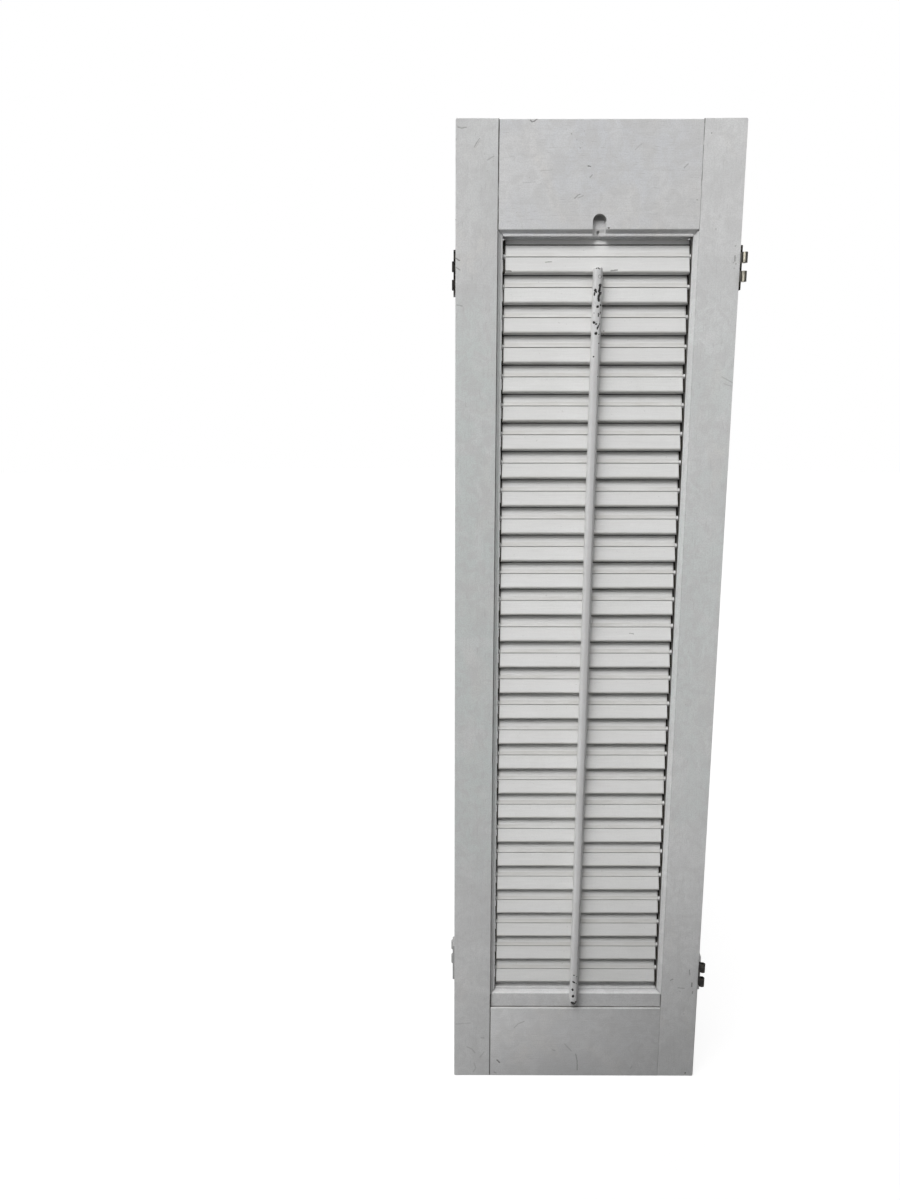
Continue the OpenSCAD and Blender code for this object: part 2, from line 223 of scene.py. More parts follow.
def painted(name, grain, tint, seed, warm=0.0, marks=(), lines=(), boxes=(), cold=1.0):
    """Frame paint: cloudy, brushed along the grain, with its own scratches and open joint lines, dark boxes of painted
    shade in recesses or for a dark plate, and a painted greenish cast of light on the stiles.
    """
    m = Tree(name)
    f = brushed(m, grain, seed)
    base = m.mix(m.step(f["cloud"], 0.34, 0.66), grey(tint * 0.93, warm), grey(tint * 1.045, warm * 0.6))
    if grain == "z":
        # painted light: a greenish cast on the stiles between the rails, standing in for green-tinted light falling
        # there
        cool = (tint * 0.950, tint * 1.005, tint * 0.985, 1)
        where = m.math("MULTIPLY", m.step(m.z, 0.17, 0.34), m.step(m.z, 0.70, 0.84, 1.0, 0.0))
        where = m.math("MULTIPLY", m.step(f["hue"], 0.34, 0.58, 0.35 * cold, 1.0 * cold), m.math("MULTIPLY_ADD", where, 0.85, 0.10), clamp=True)
    else:
        cool = (tint * 0.972, tint * 0.985, tint * 1.012, 1)
        where = m.math("MULTIPLY", m.step(f["hue"], 0.38, 0.62), m.step(m.z, 0.1, 0.8, 0.25, 0.95))
    base = m.mix(where, base, cool)
    base = m.mix(m.math("MULTIPLY", m.step(f["tone"], 0.50, 0.70), 0.5), base, (tint * 1.03, tint * 1.005, tint * 0.975, 1))
    base = m.mix(m.math("MULTIPLY", m.step(f["patch"], 0.52, 0.68), 0.45), base, grey(tint * 1.07, warm * 0.3))
    base = m.mix(m.math("MULTIPLY", m.step(f["brush"], 0.44, 0.72), 0.18), base, grey(tint * 0.77, warm))
    base = m.mix(m.math("MULTIPLY", m.step(f["mottle"], 0.40, 0.66), 0.62), base, grey(tint * 0.87, 0.004))
    base = m.mix(m.math("MULTIPLY", m.step(f["dash"], 0.59, 0.74), 0.32), base, grey(tint * 0.62, 0.01))
    base = m.mix(m.math("MULTIPLY", m.step(f["grit"], 0.36, 0.64), 0.34), base, grey(tint * 0.75, 0.0))
    base = m.mix(m.math("MULTIPLY", f["speck"], 0.30), base, grey(tint * 0.45, 0.05))
    h = m.math("ADD", m.math("MULTIPLY", f["brush"], 0.55), m.math("ADD", m.math("MULTIPLY", f["wide"], 0.8), m.math("MULTIPLY", f["grit"], 0.12)))
    h = m.math("SUBTRACT", h, m.math("MULTIPLY", m.step(f["dash"], 0.60, 0.76), 0.35))
    darkened = None
    if marks:
        darkened = m.strokes(m.face_point(), marks)
        front = m.step(m.y, -0.0085, -0.0078, 1.0, 0.0)
        darkened = m.math("MULTIPLY", darkened, front)
    for x, half, z0, z1, strength, broken in lines:
        on = m.step(m.math("ABSOLUTE", m.math("SUBTRACT", m.x, x * MM)), half * MM, (half + 0.35) * MM, strength, 0.0)
        on = m.math("MULTIPLY", on, m.math("MULTIPLY", m.step(m.z, (z0 - 0.5) * MM, z0 * MM), m.step(m.z, z1 * MM, (z1 + 0.5) * MM, 1.0, 0.0)))
        gaps = m.step(m.noise(m.scaled(20, 20, 95, (seed, x, 3)), 1.0, 3.0, 0.6), 0.36, 0.60, 1.0 - broken, 1.0)
        on = m.math("MULTIPLY", on, gaps)
        darkened = on if darkened is None else m.math("MAXIMUM", darkened, on)
    # dark boxes: painted shade in the frame's recesses (the stiles' inner walls beside the louver ends, the top and
    # sides of the rod notch, the inner corner of the bottom ledge); on the worn leaf, its dark plate between the
    # knuckles
    for x0, x1, y0, y1, z0, z1, strength in boxes:
        on = None
        for axis, lo, hi in ((m.x, x0, x1), (m.y, y0, y1), (m.z, z0, z1)):
            inside = m.math("MULTIPLY", m.step(axis, (lo - 0.25) * MM, lo * MM), m.step(axis, hi * MM, (hi + 0.25) * MM, 1.0, 0.0))
            on = inside if on is None else m.math("MULTIPLY", on, inside)
        on = m.math("MULTIPLY", on, m.step(f["patch"], 0.25, 0.6, strength * 0.8, strength))
        darkened = on if darkened is None else m.math("MAXIMUM", darkened, on)
    if darkened is not None:
        base = m.mix(darkened, base, GRIME_AND_SHADE)
        h = m.math("SUBTRACT", h, m.math("MULTIPLY", darkened, 1.6))
    m.put(m.bsdf.inputs["Base Color"], base)
    m.put(m.bsdf.inputs["Roughness"], m.step(m.math("ADD", m.math("MULTIPLY", f["brush"], 0.6), m.math("MULTIPLY", f["patch"], 0.4)), 0.3, 0.7, 0.44, 0.62))
    m.bsdf.inputs["Specular IOR Level"].default_value = 0.35
    m.put(m.bsdf.inputs["Normal"], m.bump(h, 0.32, 0.0006))
    return m.mat


# louver layout, as the frame has it
PITCH, FIRST_Z, LEAN = 26.2, 829.8, math.asin(5.9 / 26.2)


def louver_paint(name, tint, seed, warm, marks):
    """Louver paint, with painted shade in the grooves, on the end grain in the gaps and on the front half, yellowed
    dirt and painted shade under the nose, painted light and shade by height, and clean pins.
    """
    m = Tree(name)
    f = brushed(m, "x", seed)
    s, c = math.sin(LEAN), math.cos(LEAN)
    zmm, ymm = m.math("MULTIPLY", m.z, 1000.0), m.math("MULTIPLY", m.y, 1000.0)
    across = m.math("SUBTRACT", m.math("MULTIPLY", zmm, s), m.math("MULTIPLY", ymm, c))
    row = m.math("ROUND", m.math("DIVIDE", m.math("SUBTRACT", FIRST_Z * s, across), PITCH * s))
    pivot = m.math("SUBTRACT", FIRST_Z, m.math("MULTIPLY", row, PITCH))
    dz = m.math("SUBTRACT", zmm, pivot)
    u = m.math("MULTIPLY", m.math("ADD", m.math("MULTIPLY", dz, c), m.math("MULTIPLY", ymm, s)), -1.0)
    reach = m.math("ABSOLUTE", u)
    side = m.math("SIGN", m.math("SUBTRACT", m.math("MULTIPLY", pivot, s), across))
    along = m.math("MULTIPLY", m.math("MULTIPLY", u, side), -1.0)     # towards the edge that is in front on this face
    off_axis = m.math("SQRT", m.math("ADD", m.math("MULTIPLY", dz, dz), m.math("MULTIPLY", ymm, ymm)))
    white = m.t.nodes.new("ShaderNodeTexWhiteNoise")
    white.noise_dimensions = "1D"
    m.put(white.inputs["W"], row)
    each = white.outputs["Value"]
    base = m.mix(m.step(f["cloud"], 0.34, 0.66), grey(tint * 0.965, warm, 0.012), grey(tint * 1.02, warm * 0.6, 0.008))
    base = m.mix(m.math("MULTIPLY", m.step(f["grit"], 0.36, 0.64), 0.16), base, grey(tint * 0.80, warm))
    base = m.mix(m.math("MULTIPLY", each, 0.45), base, grey(tint * 0.955, warm))
    base = m.mix(m.math("MULTIPLY", m.step(f["brush"], 0.40, 0.70), 0.16), base, grey(tint * 0.80, warm))
    base = m.mix(m.math("MULTIPLY", m.step(f["dash"], 0.60, 0.76), 0.10), base, grey(tint * 0.68, 0.02))
    base = m.mix(m.math("MULTIPLY", f["speck"], 0.22), base, grey(tint * 0.45, 0.05))
    # painted light and shade: the middle rows lighter, the top rows and the lowest rows darker, as the light falls on
    # them
    height_light_and_shade = m.math("MULTIPLY", m.step(m.z, 0.45, 0.85, 1.045, 0.965), m.step(m.z, 0.10, 0.38, 0.91, 1.0))
    base = m.vec("SCALE", base, scale=height_light_and_shade)
    # yellowed dirt and painted shade where the nose turns under, broken along the length
    soil = m.noise(m.scaled(26, 160, 160, (2, 8, seed)), 1.0, 4.0, 0.6, 0.5)
    nose = m.math("MULTIPLY", m.step(reach, 12.4, 14.2), m.step(soil, 0.28, 0.70, 0.16, 0.60))
    base = m.mix(nose, base, (tint * 0.72, tint * 0.705, tint * 0.66, 1))
    # painted shade: the half towards the front edge is 7 percent darker, against the stronger light it gets
    base = m.mix(m.step(along, 0.6, 1.4), base, m.vec("SCALE", base, scale=0.93))
    # painted shade: dark lines in the middle groove and in the rear groove
    groove = m.math("MAXIMUM", m.step(m.math("ABSOLUTE", m.math("SUBTRACT", along, 1.0)), 0.30, 0.46, 0.40, 0.0),
                    m.step(m.math("ABSOLUTE", m.math("ADD", along, 9.9)), 0.50, 0.70, 0.85, 0.0))
    base = m.mix(groove, base, GRIME_AND_SHADE)
    darkened = m.strokes(m.face_point(0.35), marks, -7.0)
    darkened = m.math("MULTIPLY", darkened, m.step(m.y, -0.0015, -0.0005, 1.0, 0.0))
    base = m.mix(darkened, base, GRIME_AND_SHADE)
    # painted shade on the end grain in the gap beside the stiles, so the gap looks dark; the turned pins carry paint
    end = m.math("MULTIPLY", m.step(m.math("ABSOLUTE", m.x), 0.08325, 0.08345, 0.0, 0.9), m.step(off_axis, 2.45, 2.6))
    base = m.mix(end, base, GRIME_AND_SHADE)
    m.put(m.bsdf.inputs["Base Color"], base)
    m.put(m.bsdf.inputs["Roughness"], m.step(m.math("ADD", m.math("MULTIPLY", f["brush"], 0.6), m.math("MULTIPLY", f["patch"], 0.4)), 0.3, 0.7, 0.42, 0.60))
    m.bsdf.inputs["Specular IOR Level"].default_value = 0.35
    h = m.math("ADD", m.math("MULTIPLY", f["brush"], 0.75), m.math("ADD", m.math("MULTIPLY", f["wide"], 0.7), m.math("MULTIPLY", f["grit"], 0.10)))
    h = m.math("SUBTRACT", h, m.math("MULTIPLY", darkened, 1.5))
    m.put(m.bsdf.inputs["Normal"], m.bump(h, 0.34, 0.0006))
    return m.mat


def rod_paint(name, tint, seed):
    """Thick rod paint, chipped to dark old wood where the mesh says so."""
    m = Tree(name)
    f = brushed(m, "z", seed)
    at = m.t.nodes.new("ShaderNodeAttribute")
    at.attribute_name = "chip"
    chip = at.outputs["Fac"]
    base = m.mix(m.step(f["cloud"], 0.34, 0.66), grey(tint * 0.95, 0.004), grey(tint * 1.03, 0.002))
    base = m.mix(m.math("MULTIPLY", m.step(f["brush"], 0.42, 0.72), 0.12), base, grey(tint * 0.78))
    rub = m.noise(m.scaled(260, 260, 120, (seed, 2, 5)), 1.0, 4.0, 0.65, 0.5)
    upper = m.step(m.z, 0.70, 0.81, 0.25, 1.0)
    base = m.mix(m.math("MULTIPLY", m.math("MULTIPLY", m.step(rub, 0.56, 0.70), upper), 0.42), base, grey(tint * 0.45, 0.0))
    worn = m.step(chip, 0.18, 0.62)
    base = m.mix(worn, base, INK)
    m.put(m.bsdf.inputs["Base Color"], base)
    m.put(m.bsdf.inputs["Roughness"], m.step(f["brush"], 0.3, 0.7, 0.42, 0.60))
    m.bsdf.inputs["Specular IOR Level"].default_value = 0.35
    h = m.math("ADD", m.math("MULTIPLY", f["brush"], 0.55), m.math("ADD", m.math("MULTIPLY", rub, 0.5), m.math("MULTIPLY", f["grit"], 0.15)))
    m.put(m.bsdf.inputs["Normal"], m.bump(h, 0.35, 0.0006))
    return m.mat


def steel(name, dark, bright, rough, seed, rust=0.0):
    m = Tree(name)
    off = (seed * 2.2, seed * 1.3, seed * 0.7)
    cloud = m.noise(m.scaled(220, 220, 220, off), 1.0, 4.0, 0.6, 0.6)
    fine = m.noise(m.scaled(1500, 1500, 300, off), 1.0, 3.0, 0.6)
    base = m.mix(m.step(cloud, 0.38, 0.64), dark, bright)
    base = m.mix(m.math("MULTIPLY", m.step(m.noise(m.scaled(500, 500, 500, off), 1.0, 3.0, 0.6), 0.5, 0.66), rust), base, (0.16, 0.085, 0.045, 1))
    m.put(m.bsdf.inputs["Base Color"], base)
    m.bsdf.inputs["Metallic"].default_value = 0.85
    m.put(m.bsdf.inputs["Roughness"], m.step(m.math("ADD", m.math("MULTIPLY", cloud, 0.5), m.math("MULTIPLY", fine, 0.5)), 0.3, 0.7, rough - 0.1, rough + 0.14))
    m.put(m.bsdf.inputs["Normal"], m.bump(m.math("ADD", m.math("MULTIPLY", fine, 0.5), cloud), 0.3, 0.0003))
    return m.mat


def barrel(name, x0, x1):
    """Dark old plating with a painted highlight: a light stripe between x0 and x1 (mm) along the knuckles, standing in
    for their reflection.
    """
    m = Tree(name)
    cloud = m.noise(m.scaled(420, 420, 150, (3, 1, 2)), 1.0, 4.0, 0.6, 0.5)
    fine = m.noise(m.scaled(1600, 1600, 420, (1, 4, 2)), 1.0, 3.0, 0.6)
    painted_highlight = m.math("MULTIPLY", m.step(m.x, (x0 - 0.35) * MM, (x0 + 0.35) * MM), m.step(m.x, (x1 - 0.4) * MM, (x1 + 0.4) * MM, 1.0, 0.0))
    painted_highlight = m.math("MULTIPLY", painted_highlight, m.step(cloud, 0.36, 0.60, 0.35, 1.0))
    dull = m.mix(m.step(cloud, 0.38, 0.64), (0.045, 0.042, 0.036, 1), (0.125, 0.118, 0.098, 1))
    m.put(m.bsdf.inputs["Base Color"], m.mix(painted_highlight, dull, (0.84, 0.79, 0.66, 1)))
    m.bsdf.inputs["Metallic"].default_value = 0.55
    m.put(m.bsdf.inputs["Roughness"], m.step(m.math("ADD", m.math("MULTIPLY", cloud, 0.5), m.math("MULTIPLY", fine, 0.5)), 0.3, 0.7, 0.34, 0.56))
    m.put(m.bsdf.inputs["Normal"], m.bump(m.math("ADD", m.math("MULTIPLY", fine, 0.5), cloud), 0.3, 0.0003))
    return m.mat


def bare(name, light, dark, seed):
    m = Tree(name)
    off = (seed * 1.1, seed * 0.6, seed * 2.9)
    ring = m.noise(m.scaled(60, 900, 900, off), 1.0, 4.0, 0.6, 0.8)
    fleck = m.noise(m.scaled(1200, 1200, 1200, off), 1.0, 2.0, 0.5)
    base = m.mix(m.step(ring, 0.35, 0.68), light, dark)
    base = m.mix(m.math("MULTIPLY", m.step(fleck, 0.55, 0.7), 0.5), base, tuple(0.6 * c for c in dark[:3]) + (1,))
    m.put(m.bsdf.inputs["Base Color"], base)
    m.put(m.bsdf.inputs["Roughness"], m.step(fleck, 0.3, 0.7, 0.7, 0.9))
    m.bsdf.inputs["Specular IOR Level"].default_value = 0.2
    m.put(m.bsdf.inputs["Normal"], m.bump(m.math("ADD", ring, fleck), 0.4, 0.0004))
    return m.mat


# ---------------------------------------------------------------- finishes
TINT = 0.755
LEFT_MARKS = [
    (0.40, 0.15, (474.2, 147), (479.3, 138.5)), (0.20, 0.12, (475.8, 147.3), (480, 140.5)),
    (0.45, 0.15, (458, 127.2), (461, 128.3), (466.5, 127.3)), (0.25, 0.15, (487.5, 160), (494, 156)),
    (0.85, 0.35, (454.9, 138.5), (454.8, 145.8)), (0.70, 0.3, (454.9, 156), (454.9, 160)),
    (0.65, 0.3, (454.7, 203.5), (454.7, 207)), (0.75, 0.5, (455.1, 219.7)), (0.4, 0.25, (454.8, 232), (454.7, 236)),
    (0.60, 0.25, (456, 258.5), (459.5, 260.5)), (0.45, 0.2, (456, 267.5), (460, 270)),
    (0.22, 0.3, (467, 1047), (472, 1049), (475, 1053)), (0.20, 0.3, (480, 1057), (484, 1052)),
    (0.20, 0.3, (474, 1063), (476, 1068), (473, 1072)), (0.30, 0.2, (481, 1037.6), (484, 1038)),
    (0.16, 0.4, (456, 1024), (470, 1023)), (0.30, 0.2, (457, 305), (462, 306)),
]
RIGHT_MARKS = [
    (0.85, 0.4, (695.8, 230.3), (698.6, 230.3)),
    (0.50, 0.25, (711.5, 133)), (0.30, 0.4, (716, 229)), (0.45, 0.3, (735.5, 246)), (0.50, 0.25, (735, 256), (735, 261)),
    (0.30, 0.3, (733.6, 262.5)), (0.45, 0.25, (735.8, 264)), (0.24, 0.35, (734, 268.5)),
    (0.24, 0.15, (722, 377), (733, 383)), (0.20, 0.15, (724, 384), (731, 386)),
    (0.40, 0.25, (670.5, 980.5), (673, 979)), (0.38, 0.2, (678, 987.8), (684.5, 988.3)), (0.30, 0.25, (680, 991.5)),
    (0.45, 0.2, (689.6, 970), (689.8, 975)), (0.60, 0.3, (691.9, 983), (691.7, 986.5)), (0.50, 0.3, (692.6, 991.5), (692.4, 993.5)),
    (0.28, 0.3, (683.8, 1014)), (0.80, 0.6, (685, 1073)),
]
TOP_MARKS = [
    (0.65, 0.2, (530.5, 120.5), (532, 121.8), (534, 121.5), (539, 117.8)), (0.40, 0.3, (571.2, 134)), (0.22, 0.3, (576.5, 140)),
    (0.28, 0.3, (580, 148)), (0.22, 0.25, (582.5, 143)), (0.62, 0.22, (588, 166.2), (590.6, 166.5)),
    (0.38, 0.2, (590, 177.5), (592, 175)), (0.42, 0.18, (574.5, 198.5), (577.5, 195.5), (580, 194.5)), (0.26, 0.15, (578, 198), (583, 196)),
    (0.20, 0.15, (635, 149.5), (642, 144)), (0.30, 0.2, (684, 168), (688, 164)), (0.80, 0.55, (608.8, 228.0)), (0.32, 0.3, (697, 200)),
    (0.16, 0.15, (523, 183), (535, 182)), (0.16, 0.15, (540, 171), (552, 170)),
]
BOTTOM_MARKS = [
    (0.38, 0.3, (575.6, 1054), (577.2, 1062), (577, 1070)), (0.20, 0.3, (564.5, 1044), (571, 1051)),
    (0.70, 0.35, (497, 1060), (499.5, 1062.5)), (0.45, 0.25, (494, 1072), (496, 1073)),
    (0.28, 0.25, (514, 1028), (518, 1024), (524, 1021.5)), (0.26, 0.25, (552, 1050), (555, 1050.5)), (0.20, 0.3, (630, 1069), (632, 1066)),
]
LOUVER_MARKS = [
    (0.70, 0.35, (505.0, 270.6), (511, 271.0)), (0.60, 0.4, (611.5, 270.6), (617.5, 269.8)), (0.40, 0.2, (546, 262), (552, 261)),
    (0.60, 0.35, (604.0, 331)), (0.5, 0.35, (604.2, 334.6)), (0.35, 0.2, (630, 634), (634, 634.5)),
]
JOINT = 89.3
# painted shade: the box darkens the left stile's inner wall beside the louver ends, where the gap is in shade; the
# last argument strengthens the painted green cast
mat_left = painted("paint_left", "z", TINT, 1.0, 0.0, LEFT_MARKS,
                   [(-JOINT, 0.35, 851.5, 943, 0.90, 0.6), (-JOINT, 0.35, 0, 95.7, 0.9, 0.15)],
                   [(-85.0, -84.4, -5.9, 9.5, 97, 849, 0.9)], 1.6)
# painted light: the right stile's paint is 7.5 percent lighter than the left's, for the stronger light on it; painted
# shade: its box darkens its inner wall beside the louver ends; a weaker painted green cast
mat_right_lit = painted("paint_right", "z", TINT * 1.075, 1.6, 0.0, RIGHT_MARKS,
                    [(JOINT, 0.2, 938.5, 943, 0.8, 0.1), (JOINT, 0.18, 888, 938, 0.6, 0.97), (JOINT, 0.15, 851.5, 888, 0.2, 0.8), (JOINT, 0.2, 82, 95.7, 0.7, 0.1), (JOINT, 0.12, 0, 82, 0.35, 0.8),
                     (JOINT + 0.1, 0.12, 96, 851, 0.28, 0.4)],
                    [(84.4, 85.0, -5.9, 9.5, 97, 849, 0.9)], 0.75)
# painted light: the top rail's paint is 3 percent lighter than the left stile's, to lift its tone; painted shadow: the
# boxes darken the top and sides of the rod notch's arch
mat_top = painted("paint_top", "x", TINT * 1.03, 2.0, 0.0, TOP_MARKS,
                  [(-JOINT, 0.35, 851.5, 943, 0.90, 0.6), (JOINT, 0.2, 938.5, 943, 0.8, 0.1), (JOINT, 0.18, 888, 938, 0.6, 0.97)],
                  [(-5.2, 6.8, -9.2, -1.0, 860.2, 865, 0.62), (-5.2, -3.9, -9.2, -1.0, 856.5, 861, 0.45), (5.6, 6.8, -9.2, -1.0, 858.5, 861, 0.4)])
# painted shade: the box darkens the inner corner where the recessed strip meets the ledge, along its length
mat_bottom = painted("paint_bottom", "x", TINT * 0.975, 2.7, 0.0, BOTTOM_MARKS,
                     [(-JOINT, 0.35, 0, 95.7, 0.9, 0.15), (JOINT, 0.2, 82, 95.7, 0.7, 0.1), (JOINT, 0.12, 0, 82, 0.35, 0.8)],
                     [(-89.4, 89.4, -8.2, -6.3, 80.1, 81.0, 0.78)])
mat_louver = louver_paint("paint_louver", TINT * 1.145, 3.0, 0.008, LOUVER_MARKS)
mat_rod = rod_paint("paint_rod", TINT * 1.03, 4.0)
# painted shade: the bottom left leaf's paint is a darker copy of the frame paint, standing in for the shade on it
mat_leaf_shaded_paint = painted("paint_leaf", "z", TINT * 0.56, 5.0)
mat_wire = steel("staple_wire", (0.30, 0.29, 0.28, 1), (0.55, 0.54, 0.52, 1), 0.42, 1.0, 0.3)
knuckle_x = [v.co.x / MM for v in nodes["hinge_leaf_top_right"].data.vertices if v.co.y < -0.0096]
knuckle_z = [v.co.z / MM for v in nodes["hinge_leaf_bottom_right"].data.vertices if v.co.y < -0.0096]
knuckle_w = max(knuckle_x) - min(knuckle_x)
# painted highlight: the stripe runs from 20 to 49 percent of the way across the top right knuckles
mat_hinge = barrel("hinge_steel", min(knuckle_x) + 0.20 * knuckle_w, min(knuckle_x) + 0.49 * knuckle_w)
mat_leaf_worn = painted("paint_leaf_worn", "z", TINT * 0.92, 5.0, 0.0, (), (), [(100, 150, -30, 30, min(knuckle_z), max(knuckle_z), 0.97)])
mat_hinge_dark = steel("hinge_dark", (0.016, 0.016, 0.016, 1), (0.055, 0.053, 0.05, 1), 0.5, 3.0, 0.15)
mat_screw = steel("screw_steel", (0.22, 0.21, 0.19, 1), (0.50, 0.47, 0.42, 1), 0.40, 4.0, 0.35)
# painted shade: a near-black finish for the blocks in the gaps at the louver ends
mat_end_shade = bare("end_shade_finish", (0.045, 0.038, 0.030, 1), (0.022, 0.019, 0.016, 1), 2.0)
mat_wood = bare("bare_wood", (0.50, 0.36, 0.21, 1), (0.33, 0.22, 0.12, 1), 1.0)


def assign(obj, mat):
    obj.data.materials.clear()
    obj.data.materials.append(mat)


# ---------------------------------------------------------------- pieces
def link(name, bm, mat, body, slot, *stands_for):
    me = bpy.data.meshes.new(name)
    bm.to_mesh(me)
    bm.free()
    o = bpy.data.objects.new(name, me)
    scene.collection.objects.link(o)
    me.materials.append(mat)
    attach(o, body)
    if stands_for:
        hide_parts(*stands_for)
    return o


def smooth_by_angle(bm, limit=38.0):
    for f in bm.faces:
        f.smooth = True
    for e in bm.edges:
        e.smooth = len(e.link_faces) == 2 and e.calc_face_angle(0.0) < math.radians(limit)


def eased_copy(node, name, mat, width=0.0007, segs=3):
    """The board with its long edges eased, as sanded and painted wood has."""
    bm = bmesh.new()
    bm.from_mesh(nodes[node].data)
    bmesh.ops.remove_doubles(bm, verts=bm.verts, dist=2e-6)
    bmesh.ops.dissolve_limit(bm, angle_limit=math.radians(0.6), verts=bm.verts, edges=bm.edges, use_dissolve_boundaries=False)

    def wanted(e):
        if len(e.link_faces) != 2 or e.calc_face_angle(0.0) < math.radians(25) or not e.is_convex:
            return False
        if all(abs(v.co.x) < 0.0075 and 0.84 < v.co.z < 0.8475 for v in e.verts):
            return False                                  # the notch's thin mouth stays as it is
        if min(f.calc_area() for f in e.link_faces) > 2.0e-5:
            return True
        front = [f for f in e.link_faces if f.normal.y < -0.99 and f.calc_area() > 1e-3]
        return bool(front) and abs(e.verts[0].co.x) < 0.01 and 0.85 < e.verts[0].co.z < 0.87

    def kind(e):
        a, b = e.verts[0].co, e.verts[1].co
        mid = (a + b) / 2
        if abs(a.y - b.y) > 0.015 and abs(mid.x) > 0.1268 and not 0.001 < mid.z < 0.942:
            return "corner"
        if abs(abs(a.x) - JOINT * MM) < 4e-4 and abs(abs(b.x) - JOINT * MM) < 4e-4 and not 0.096 < mid.z < 0.851:
            return "tight" if mid.x > 0 else "joint"      # the right-hand joints are drawn up and filled with paint
        return "edge"

    for which, offset, n in (("corner", 0.0018, 5), ("joint", 0.0004, 2), ("edge", width, segs)):
        edges = [e for e in bm.edges if wanted(e) and kind(e) == which]
        if edges:
            bmesh.ops.bevel(bm, geom=edges, offset=offset, offset_type="OFFSET", segments=n, profile=0.5,
                            affect="EDGES", clamp_overlap=False)
    smooth_by_angle(bm)
    o = link(name, bm, mat, "frame", "painted_frame", node)
    w = o.modifiers.new("normals", "WEIGHTED_NORMAL")
    w.keep_sharp = True
    w.weight = 80
    return o


for n, mat in (("left_stile", mat_left), ("right_stile", mat_right_lit), ("top_rail", mat_top), ("bottom_rail", mat_bottom)):
    eased_copy(n, n + "_board", mat)

def prism(bm, outline, y0, y1):
    """A plate with an (x, z) outline in mm between two depths."""
    a = [bm.verts.new(Vector((x, y0, z)) * MM) for x, z in outline]
    b = [bm.verts.new(Vector((x, y1, z)) * MM) for x, z in outline]
    k = len(outline)
    bm.faces.new(a)
    bm.faces.new(b[::-1])
    for i in range(k):
        bm.faces.new((a[(i + 1) % k], a[i], b[i], b[(i + 1) % k]))


NOTCH_X, NOTCH_R, NOTCH_TOP = 0.8, 5.73, 864.2

# the bead that edges the opening under the top rail, stopped by the notch
bm = bmesh.new()
for x0, x1 in ((-84.6, NOTCH_X - NOTCH_R - 0.05), (NOTCH_X + NOTCH_R + 0.05, 84.6)):
    prism(bm, [(x0, 845.9), (x1, 845.9), (x1, 848.1), (x0, 848.1)], -7.5, -6.25)
bmesh.ops.recalc_face_normals(bm, faces=bm.faces)
bmesh.ops.bevel(bm, geom=[e for e in bm.edges if all(v.co.y < -0.0074 for v in e.verts) and abs(e.verts[0].co.x - e.verts[1].co.x) > 0.01],
                offset=0.0005, offset_type="OFFSET", segments=3, profile=0.5, affect="EDGES")
smooth_by_angle(bm)
link("top_bead", bm, mat_top, "frame", "painted_frame")

# the notch's painted floor, sloped at the mouth and slit where the top staple passes
bm = bmesh.new()
xl, xr, s0, s1 = NOTCH_X - NOTCH_R, NOTCH_X + NOTCH_R, -0.9, 1.45
arch = [(NOTCH_X + NOTCH_R * math.cos(math.pi * k / 32), NOTCH_TOP - 5.75 + NOTCH_R * math.sin(math.pi * k / 32)) for k in range(33)]
prism(bm, [(xl, 852.6), (xr, 852.6)] + arch, -4.3, -1.42)
mouth = [(-1.42, 847.0), (-3.3, 847.0), (-3.3, 849.8), (-4.3, 852.6), (-1.42, 852.6)]
over_slit = [(-1.42, 851.6), (-3.94, 851.6), (-4.3, 852.6), (-1.42, 852.6)]
for x0, x1, profile in ((xl, s0, mouth), (s0, s1, over_slit), (s1, xr, mouth)):
    ends = [[bm.verts.new(Vector((x, y, z)) * MM) for y, z in profile] for x in (x0, x1)]
    bm.faces.new(ends[0])
    bm.faces.new(ends[1][::-1])
    k = len(profile)
    for i in range(k):
        bm.faces.new((ends[0][i], ends[1][i], ends[1][(i + 1) % k], ends[0][(i + 1) % k]))
bmesh.ops.recalc_face_normals(bm, faces=bm.faces)
link("notch_floor", bm, mat_top, "frame", "painted_frame")


def end_shade_blocks(node, index):
    """Near-black blocks at the slat's ends beside the pins, standing out a little from the painted ends: painted shade
    for the gap beside the stiles.
    """
    pivot = FIRST_Z - index * PITCH
    s, c = math.sin(LEAN), math.cos(LEAN)
    far = [v.co / MM for v in nodes[node].data.vertices]
    far = [p.x for p in far if math.hypot(p.y, p.z - pivot) > 4.0]
    bm = bmesh.new()
    for x0, x1 in ((-84.15, min(far) + 0.3), (max(far) - 0.3, 84.15)):
        for u0, u1 in ((-14.7, -2.7), (2.7, 14.7)):
            pts = []
            for u, v in ((u0, -2.2), (u1, -2.2), (u1, 2.2), (u0, 2.2)):
                pts.append((-u * s - v * c, pivot - u * c + v * s))
            a = [bm.verts.new(Vector((x0, y, z)) * MM) for y, z in pts]
            b = [bm.verts.new(Vector((x1, y, z)) * MM) for y, z in pts]
            bm.faces.new(a)
            bm.faces.new(b[::-1])
            for i in range(4):
                bm.faces.new((a[(i + 1) % 4], a[i], b[i], b[(i + 1) % 4]))
    bmesh.ops.recalc_face_normals(bm, faces=bm.faces)
    link(node.replace("louver", "louver_end"), bm, mat_end_shade, node, "painted_louver")


for k in range(28):
    end_shade_blocks("louver_%02d" % (k + 1), k)

